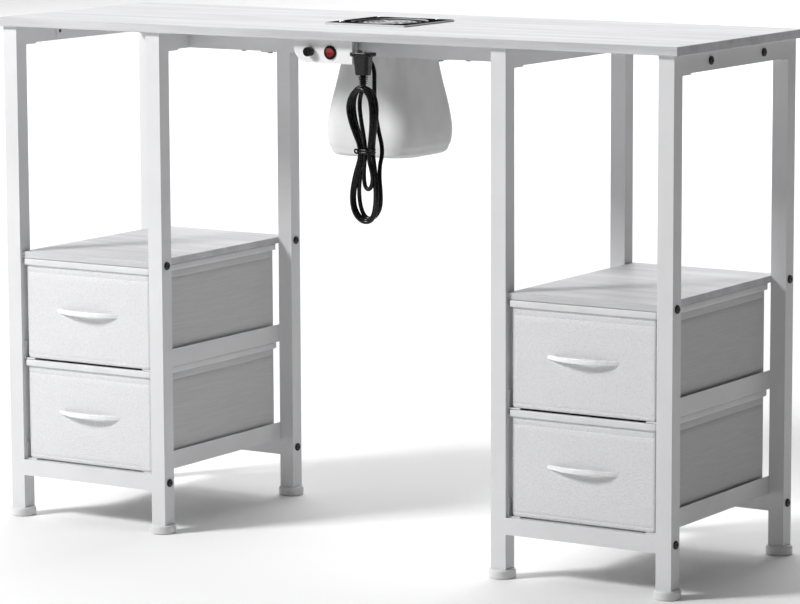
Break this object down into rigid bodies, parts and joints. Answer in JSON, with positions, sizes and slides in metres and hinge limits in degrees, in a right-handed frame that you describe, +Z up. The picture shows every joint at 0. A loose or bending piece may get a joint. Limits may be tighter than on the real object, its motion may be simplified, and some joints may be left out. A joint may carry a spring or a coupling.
{
  "type": "manicure table",
  "caption": "Long narrow salon table on square steel legs with fabric drawers under open shelves at both ends, a fan port in the top, a dust bag below and switch panel.",
  "frame": {"origin": "centre of the footprint, on the floor", "axes": "+X along the top to the right as the worker sees it, -Y towards the worker and the drawer fronts, +Z up"},
  "size_m": [1.2, 0.4, 0.7942],
  "materials": {
    "white_laminate": "matt pale grey-white wood-grain laminate",
    "white_steel": "satin white powder coat",
    "black_bolt": "black oxide",
    "white_foot": "matt moulded",
    "leg_insert": "matt moulded",
    "drawer_fabric": "woven grey-white sides with a grained white front",
    "drawer_rim": "matt",
    "drawer_handle": "semi-gloss",
    "black_plastic": "matt",
    "grille_black": "black with bright edge",
    "chrome_wire": "polished",
    "motor_steel": "plain",
    "bag_cloth": "fine white non-woven cloth",
    "panel_white": "satin white",
    "rocker_red": "translucent gloss",
    "cord_black": "smooth vinyl",
    "prong_brass": "nickel plated"
  },
  "bodies": {
    "table": {"beam_straps": "white_steel", "control_panel": "panel_white", "cord_gland": "black_plastic", "cord_hank": "cord_black", "cord_tie": "black_plastic", "fan_frame": "black_plastic", "fan_lead": "cord_black", "fan_motor": "motor_steel", "fan_nuts": "black_bolt", "fan_screws": "black_bolt", "filter_bag": "bag_cloth", "finger_guard": "chrome_wire", "frame_bolts": "black_bolt", "front_beam": "white_steel", "grille_plate": "grille_black", "inner_left_frame": "white_steel", "inner_right_frame": "white_steel", "left_front_cross_rail": "white_steel", "left_rear_cross_rail": "white_steel", "left_shelf": "white_laminate", "leg_inserts": "leg_insert", "mains_plug": "cord_black", "outer_left_frame": "white_steel", "outer_right_frame": "white_steel", "plug_prongs": "prong_brass", "power_cord": "cord_black", "rear_beam": "white_steel", "right_front_cross_rail": "white_steel", "right_rear_cross_rail": "white_steel", "right_shelf": "white_laminate", "rocker_switch": "black_plastic", "shelf_bolts": "black_bolt", "speed_controller": "black_plastic", "speed_dial": "motor_steel", "tabletop": "white_laminate", "top_brackets": "white_steel", "underside_screws": "black_bolt"},
    "upper_left_drawer": {"upper_left_drawer_box": "drawer_fabric", "upper_left_drawer_rim": "drawer_rim", "upper_left_drawer_handle": "drawer_handle"},
    "upper_right_drawer": {"upper_right_drawer_box": "drawer_fabric", "upper_right_drawer_rim": "drawer_rim", "upper_right_drawer_handle": "drawer_handle"},
    "lower_left_drawer": {"lower_left_drawer_box": "drawer_fabric", "lower_left_drawer_rim": "drawer_rim", "lower_left_drawer_handle": "drawer_handle"},
    "lower_right_drawer": {"lower_right_drawer_box": "drawer_fabric", "lower_right_drawer_rim": "drawer_rim", "lower_right_drawer_handle": "drawer_handle"},
    "speed_knob": {"speed_knob": "black_plastic"},
    "power_rocker": {"power_rocker": "rocker_red"},
    "fan_rotor": {"fan_rotor": "black_plastic"},
    "front_outer_left_foot": {"front_outer_left_foot": "white_foot"},
    "rear_outer_left_foot": {"rear_outer_left_foot": "white_foot"},
    "front_inner_left_foot": {"front_inner_left_foot": "white_foot"},
    "rear_inner_left_foot": {"rear_inner_left_foot": "white_foot"},
    "front_inner_right_foot": {"front_inner_right_foot": "white_foot"},
    "rear_inner_right_foot": {"rear_inner_right_foot": "white_foot"},
    "front_outer_right_foot": {"front_outer_right_foot": "white_foot"},
    "rear_outer_right_foot": {"rear_outer_right_foot": "white_foot"}
  },
  "joints": [
    {"name": "upper_left_drawer_slide", "type": "slide", "parent": "table", "child": "upper_left_drawer", "axis": [0, -1, 0], "range_m": [0, 0.28]},
    {"name": "upper_right_drawer_slide", "type": "slide", "parent": "table", "child": "upper_right_drawer", "axis": [0, -1, 0], "range_m": [0, 0.28]},
    {"name": "lower_left_drawer_slide", "type": "slide", "parent": "table", "child": "lower_left_drawer", "axis": [0, -1, 0], "range_m": [0, 0.28]},
    {"name": "lower_right_drawer_slide", "type": "slide", "parent": "table", "child": "lower_right_drawer", "axis": [0, -1, 0], "range_m": [0, 0.28]},
    {"name": "speed_knob_turn", "type": "hinge", "parent": "table", "child": "speed_knob", "pos_m": [-0.0235, -0.19, 0.7575], "axis": [0, 1, 0], "range_deg": [-135, 135]},
    {"name": "power_rocker_tilt", "type": "hinge", "parent": "table", "child": "power_rocker", "pos_m": [0.0115, -0.181, 0.757], "axis": [-1, 0, 0], "range_deg": [0, 14]},
    {"name": "fan_spin", "type": "hinge", "parent": "table", "child": "fan_rotor", "pos_m": [0, 0, 0.763], "axis": [0, 0, 1], "continuous": true},
    {"name": "front_outer_left_foot_height", "type": "slide", "parent": "table", "child": "front_outer_left_foot", "axis": [0, 0, -1], "range_m": [0, 0.01]},
    {"name": "rear_outer_left_foot_height", "type": "slide", "parent": "table", "child": "rear_outer_left_foot", "axis": [0, 0, -1], "range_m": [0, 0.01]},
    {"name": "front_inner_left_foot_height", "type": "slide", "parent": "table", "child": "front_inner_left_foot", "axis": [0, 0, -1], "range_m": [0, 0.01]},
    {"name": "rear_inner_left_foot_height", "type": "slide", "parent": "table", "child": "rear_inner_left_foot", "axis": [0, 0, -1], "range_m": [0, 0.01]},
    {"name": "front_inner_right_foot_height", "type": "slide", "parent": "table", "child": "front_inner_right_foot", "axis": [0, 0, -1], "range_m": [0, 0.01]},
    {"name": "rear_inner_right_foot_height", "type": "slide", "parent": "table", "child": "rear_inner_right_foot", "axis": [0, 0, -1], "range_m": [0, 0.01]},
    {"name": "front_outer_right_foot_height", "type": "slide", "parent": "table", "child": "front_outer_right_foot", "axis": [0, 0, -1], "range_m": [0, 0.01]},
    {"name": "rear_outer_right_foot_height", "type": "slide", "parent": "table", "child": "rear_outer_right_foot", "axis": [0, 0, -1], "range_m": [0, 0.01]}
  ]
}
